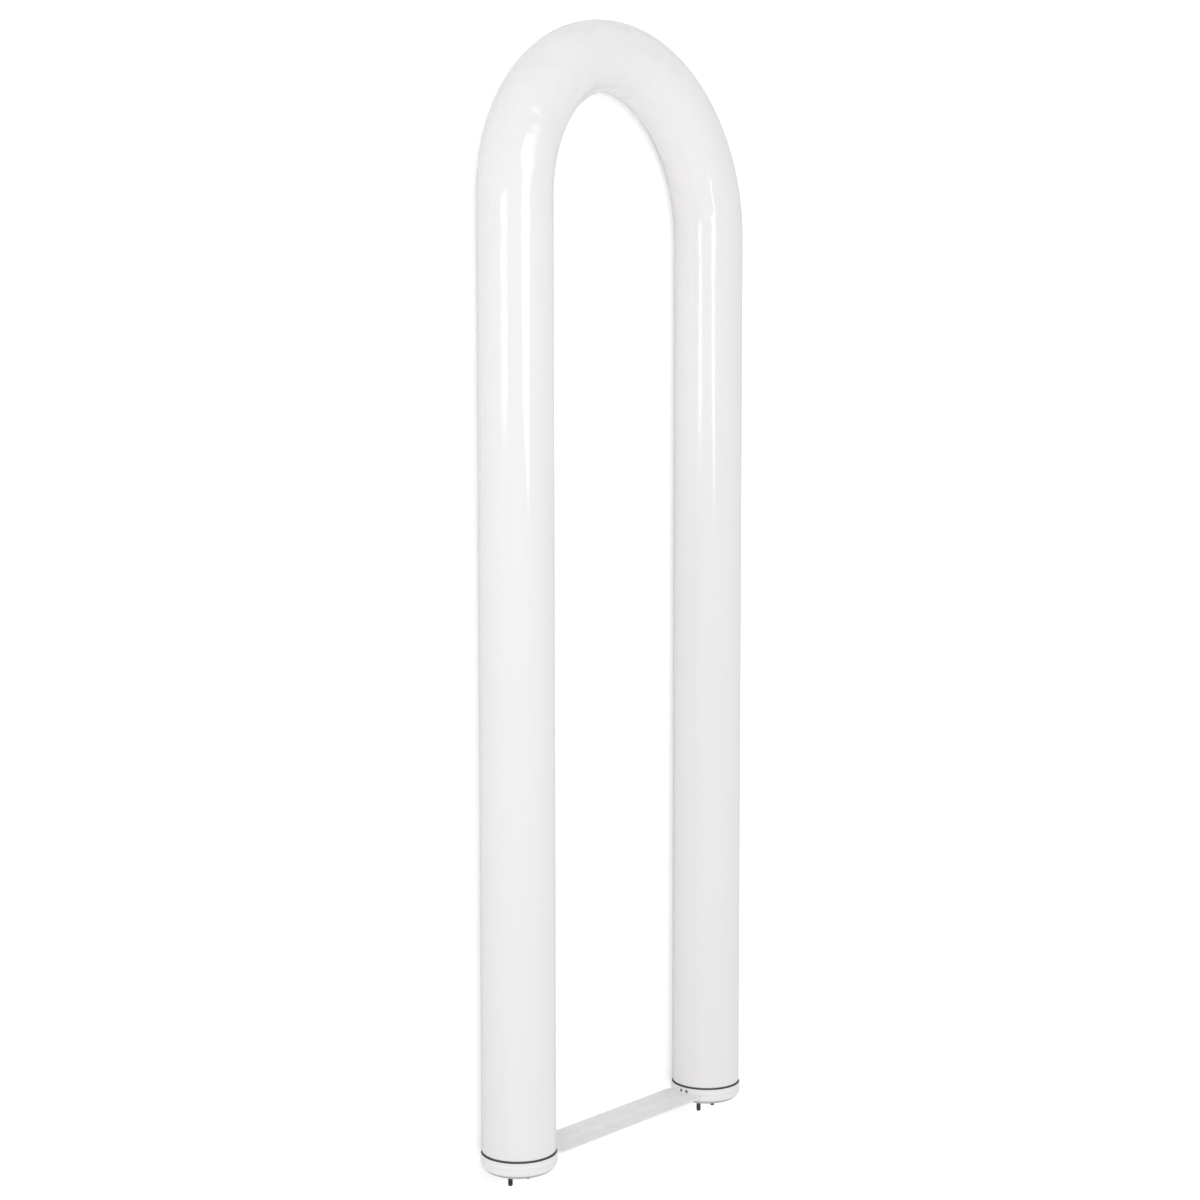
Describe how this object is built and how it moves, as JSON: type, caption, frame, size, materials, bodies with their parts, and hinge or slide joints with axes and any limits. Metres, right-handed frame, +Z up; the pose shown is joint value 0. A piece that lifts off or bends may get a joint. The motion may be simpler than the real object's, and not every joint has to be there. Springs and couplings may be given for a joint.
{
  "type": "u shaped fluorescent bulb",
  "caption": "U-bent fluorescent lamp: a white coated glass tube, a metal cap with contact pins on each end, and a brace between the caps.",
  "frame": {"origin": "under the middle of the lamp, on the surface it lies on", "axes": "+X across the two legs, +Y along the legs from the pins to the bend, +Z up; the lamp lies flat on the side of its caps"},
  "size_m": [0.1906, 0.5786, 0.0382],
  "materials": {
    "coated_glass": "smooth clear glass over a white inner coating, opaque",
    "cap_paint": "smooth white paint",
    "brace_paint": "smooth off-white paint",
    "cement": "matt dark grey basing cement",
    "disc_plastic": "matt moulded insulating plastic",
    "pin_metal": "dull plated metal",
    "lead_metal": "bare wire"
  },
  "bodies": {
    "root": {"glass_tube": "coated_glass", "brace": "brace_paint", "left_end_cap": "cap_paint", "left_cement_ring": "cement", "left_insulating_disc": "disc_plastic", "left_outer_pin": "pin_metal", "left_outer_lead_wire": "lead_metal", "left_inner_pin": "pin_metal", "left_inner_lead_wire": "lead_metal", "right_end_cap": "cap_paint", "right_cement_ring": "cement", "right_insulating_disc": "disc_plastic", "right_outer_pin": "pin_metal", "right_outer_lead_wire": "lead_metal", "right_inner_pin": "pin_metal", "right_inner_lead_wire": "lead_metal"}
  },
  "joints": []
}
